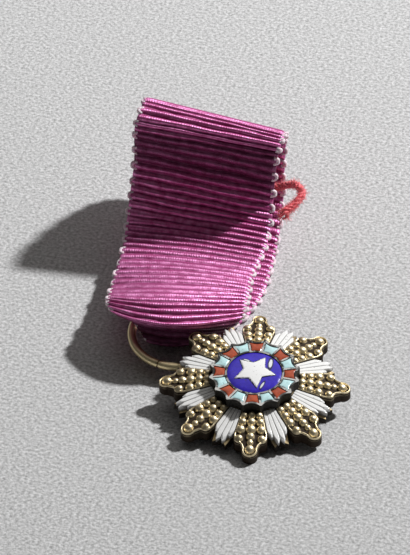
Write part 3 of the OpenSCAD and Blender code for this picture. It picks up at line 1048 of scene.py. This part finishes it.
# Pale flecks in the blue enamel: where, which way they run, half their length and half their width
PALE_FLECKS = [
    ((1.98, -0.26), (0.76, 0.65), 0.7, 0.2),
    ((-0.68, -1.94), (0.94, 0.35), 0.45, 0.12),
    ((0.45, 1.74), (-0.36, 0.93), 0.38, 0.1),
]


def pale_flecks(tree, color):
    """The enamel's colour with a few pale flecks, each in a dark line."""
    across, along = badge_place(tree)
    ragged = times(tree, noise(tree, object_place(tree), 3200.0, 2.0), 0.9)
    for (x, y), (way_x, way_y), length, width in PALE_FLECKS:
        dx = math_node(tree, "SUBTRACT", across, x * MM)
        dy = math_node(tree, "SUBTRACT", along, y * MM)
        u = plus(tree, times(tree, dx, way_x / (length * MM)), times(tree, dy, way_y / (length * MM)))
        v = plus(tree, times(tree, dx, -way_y / (width * MM)), times(tree, dy, way_x / (width * MM)))
        away = plus(tree, square_sum(tree, u, v), ragged)
        color = mix_color(tree, remap(tree, away, 2.1, 3.3, 0.9, 0.0), color, (0.02, 0.02, 0.04))
        color = mix_color(tree, remap(tree, away, 1.1, 1.4, 1.0, 0.0), color, FLECK_PALE)
    return color


def rim_darkness(tree):
    """Tarnish on the medallion's rim, save at its points, and on the ring round the disc."""
    flat = badge_place(tree)
    radius = math_node(tree, "SQRT", square_sum(tree, flat[0], flat[1]))
    around = times(tree, math_node(tree, "ARCTAN2", flat[0], flat[1]), 360 / SEGMENT_STEP)
    hollow = remap(tree, math_node(tree, "COSINE", around), -0.75, 0.1)
    rim = times(tree, remap(tree, radius, RIM_STARTS * MM, (RIM_STARTS + RIM_FADE) * MM), hollow)
    inner = remap(tree, radius, RING_FADES[0] * MM, RING_FADES[1] * MM, 0.65, 0.3)
    outer = times(tree, rim, 0.8)
    return math_node(tree, "MAXIMUM", outer, plus(tree, inner, patches(tree, 0.5)))


def metal_material(name, group, bright, tarnish_and_shade, wear, recess=None, side=0.0, rim=False, patchy=0.0,
                   polish=0.0):
    """Aged metal, dark where the piece's stored recess, the rim or small patches say so, with painted shade
    on its side walls.
    """
    material, tree, shader = new_material(name)
    source = 0.0
    if recess:
        source = stored(tree, recess)
    if side:
        source = wall_painted_shade(tree, side)
    if patchy:
        source = patches(tree, patchy)
    if rim:
        source = math_node(tree, "MAXIMUM", source, rim_darkness(tree))
    node = use_group(tree, group, Bright=bright, Tarnish=tarnish_and_shade, Wear=wear, Polish=polish, Recess=source)
    connect(tree, node, shader, "Color", "Roughness", "Metal", "Normal")
    return material


def enamel_material(name, group, color, uneven, recess=None, dirt=(0.08, 0.06, 0.04), flecks=False):
    """Fired enamel with a thin gloss coat, and with pale flecks where they are asked for."""
    material, tree, shader = new_material(name)
    source = stored(tree, recess) if recess else 0.0
    node = use_group(tree, group, Color=color, Unevenness=uneven, Recess=source, Dirt=dirt)
    connect(tree, node, shader, "Color", "Roughness", "Normal")
    if flecks:
        tree.links.new(pale_flecks(tree, node.outputs["Color"]), shader.inputs["Base Color"])
    shader.inputs["Coat Weight"].default_value = 0.35
    shader.inputs["Coat Roughness"].default_value = 0.06
    return material


def silk_material(name, group):
    """Ribbed silk: fine warp threads run over the ribs, with painted shade in the grooves between ribs and
    under the fold and the roll.
    """
    material, tree, shader = new_material(name)
    # The threads wander a little; width_at is in millimetres
    stray = noise(tree, object_place(tree), 900.0, 2.0)
    across = plus(tree, stored(tree, "width_at"), times(tree, stray, 0.5))
    warp = math_node(tree, "SINE", times(tree, across, 2 * math.pi / WARP_SPACING))
    groove = stored(tree, "groove")
    node = use_group(tree, group, Color=(0.44, 0.042, 0.2), Light=(1.0, 0.3, 0.65), Grain=0.8,
                     Height=times(tree, warp, remap(tree, groove, 0.15, 0.7, 0.3, 0.02)))
    # Painted shade in the grooves between ribs
    shade = mix_color(tree, 1.0, node.outputs["Color"], (0.55, 0.36, 0.48), "MULTIPLY")
    color = mix_color(tree, remap(tree, groove, 0.15, 0.8), node.outputs["Color"], shade)
    # Painted shade under the fold and the roll: the colour goes to near black and the gloss fades
    deep = times(tree, stored(tree, "painted_shade"), PAINTED_SHADE_SHARE)
    color = mix_color(tree, deep, color, (0.014, 0.004, 0.008))
    tree.links.new(color, shader.inputs["Base Color"])
    gloss = remap(tree, noise(tree, object_place(tree), 1300.0, 3.0), 0.35, 0.65, 0.45, 1.35)
    gloss = times(tree, gloss, remap(tree, groove, 0.3, 0.85, 1.0, 0.25))
    gloss = times(tree, gloss, math_node(tree, "SUBTRACT", 1.0, deep))
    tree.links.new(gloss, shader.inputs["Specular IOR Level"])
    connect(tree, node, shader, "Roughness", "Normal")
    weft_way = tree.nodes.new("ShaderNodeCombineXYZ")
    weft_way.inputs["X"].default_value = 1.0
    tree.links.new(weft_way.outputs["Vector"], shader.inputs["Tangent"])
    shader.inputs["Anisotropic"].default_value = 0.8
    shader.inputs["Specular Tint"].default_value = (1.0, 0.42, 0.78, 1.0)
    shader.inputs["IOR"].default_value = 3.2
    return material


def thread_material(name, group, color, light):
    """Soft thread that takes in a little light."""
    material, tree, shader = new_material(name)
    node = use_group(tree, group, Color=color, Light=light, Grain=1.2)
    connect(tree, node, shader, "Color", "Roughness", "Normal")
    shader.inputs["Sheen Weight"].default_value = 0.5
    shader.inputs["Subsurface Weight"].default_value = 0.15
    shader.inputs["Subsurface Radius"].default_value = (0.0004, 0.0002, 0.0002)
    shader.inputs["Subsurface Scale"].default_value = 1.0
    return material


def table_material():
    """Pale paper with a fine tooth."""
    material, tree, shader = new_material("pale_paper")
    place = object_place(tree)
    tooth = noise(tree, place, 2800.0, 4.0, 0.65)
    speck = noise(tree, place, 4200.0, 2.0, 0.6)
    cloud = noise(tree, place, 60.0, 3.0)
    tone = mix_color(tree, remap(tree, tooth, 0.3, 0.7), (0.28, 0.28, 0.28), (0.81, 0.81, 0.815))
    tone = mix_color(tree, remap(tree, cloud, 0.35, 0.7, 0.0, 0.15), tone, (0.5, 0.5, 0.5))
    tree.links.new(tone, shader.inputs["Base Color"])
    height = plus(tree, tooth, times(tree, speck, 0.5))
    tree.links.new(bump(tree, height, 0.5, 0.00016), shader.inputs["Normal"])
    shader.inputs["Roughness"].default_value = 0.9
    shader.inputs["Specular IOR Level"].default_value = 0.2
    return material


# Half the side of the paper
TABLE_HALF = 900.0


def make_table():
    """The sheet of paper that the medal lies on."""
    corners = np.array([(-1, -1, 0), (1, -1, 0), (1, 1, 0), (-1, 1, 0)], float) * TABLE_HALF + MIDDLE
    table = mesh_object("table_paper", corners, [np.array([[0, 1, 2, 3]])])
    table.data.materials.append(table_material())


# The whole medal

def finish_piece(piece, material, stands_for=()):
    """Gives a piece its material, its body and the CAD nodes that it stands for."""
    piece.data.materials.clear()
    piece.data.materials.append(material)
    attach(piece, "root")
    if stands_for:
        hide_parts(*stands_for)


def paint_node(name, material):
    """Gives a CAD piece that stays its material."""
    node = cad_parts[name]
    node.data.materials.clear()
    node.data.materials.append(material)


def build():
    """Makes the materials and the pieces, and says what each piece is."""
    aged_metal = make_aged_metal_group()
    fired_enamel = make_enamel_group()
    spun_fibre = make_fibre_group()
    silk = silk_material("plum_silk", spun_fibre)
    picot = thread_material("picot_silk", spun_fibre, (0.9, 0.72, 0.8), (1.0, 0.97, 0.98))
    red_thread = thread_material("red_cotton", spun_fibre, (1.0, 0.12, 0.15), (1.0, 0.62, 0.64))
    star_gilt = metal_material("star_gilt", aged_metal, bright=(1.0, 0.86, 0.58),
                               tarnish_and_shade=(0.032, 0.018, 0.008), wear=0.05, recess="recess", polish=-0.08)
    # side puts painted shade on the plate's walls
    plate_gilt = metal_material("plate_gilt", aged_metal, bright=(0.6, 0.47, 0.27),
                                tarnish_and_shade=(0.025, 0.018, 0.012), wear=0.5, side=0.9)
    ring_gilt = metal_material("ring_gilt", aged_metal, bright=(1.0, 0.85, 0.52), tarnish_and_shade=(0.62, 0.46, 0.24),
                               wear=0.8)
    # side puts painted shade on the medallion's side walls
    medallion_silver = metal_material("medallion_silver", aged_metal, bright=(0.85, 0.84, 0.82),
                                      tarnish_and_shade=(0.03, 0.028, 0.026), wear=0.35, side=0.95, rim=True)
    wire_silver = metal_material("wire_silver", aged_metal, bright=(0.85, 0.85, 0.9),
                                 tarnish_and_shade=(0.03, 0.028, 0.03), wear=0.1, patchy=1.0)
    white = enamel_material("white_enamel", fired_enamel, (0.95, 0.95, 0.94), uneven=0.06, recess="recess",
                            dirt=(0.12, 0.11, 0.1))
    star_white = enamel_material("star_white_enamel", fired_enamel, (0.99, 0.99, 0.985), uneven=0.03)
    red = enamel_material("red_enamel", fired_enamel, (0.52, 0.09, 0.035), uneven=0.9)
    turquoise = enamel_material("turquoise_enamel", fired_enamel, (0.66, 0.97, 1.0), uneven=0.5)
    blue = enamel_material("blue_enamel", fired_enamel, (0.05, 0.028, 0.56), uneven=0.6, flecks=True)

    ribbon = make_ribbon()
    finish_piece(ribbon, silk, ["ribbon"])
    picots = make_picots()
    finish_piece(picots, picot)
    finish_piece(make_thread(), red_thread, ["thread_end"])
    finish_piece(make_ring(), ring_gilt, ["suspension_ring"])
    finish_piece(make_gilt_rays(), star_gilt)
    paint_node("star_plate", plate_gilt)
    paint_node("medallion", medallion_silver)
    for number in range(1, RAYS + 1):
        finish_piece(make_white_ray(number), white, [f"enamel_ray_{number}"])
        red_field = make_segment(f"red_field_{number}", 2 * (number - 1))
        finish_piece(red_field, red, [f"red_segment_{number}"])
        turquoise_field = make_segment(f"turquoise_field_{number}", 2 * number - 1)
        finish_piece(turquoise_field, turquoise, [f"turquoise_segment_{number}"])
    finish_piece(make_blue_disc(), blue, ["blue_disc"])
    white_star = make_star_piece("white_star", STAR_OUTLINES, STAR_OVER)
    finish_piece(white_star, star_white, ["center_star"])
    star_wire = make_star_piece("star_wire", WIRE_OUTLINES, WIRE_OVER)
    finish_piece(star_wire, wire_silver)


build()
make_table()
make_light()
make_camera()
bpy.context.scene.view_settings.view_transform = "Standard"
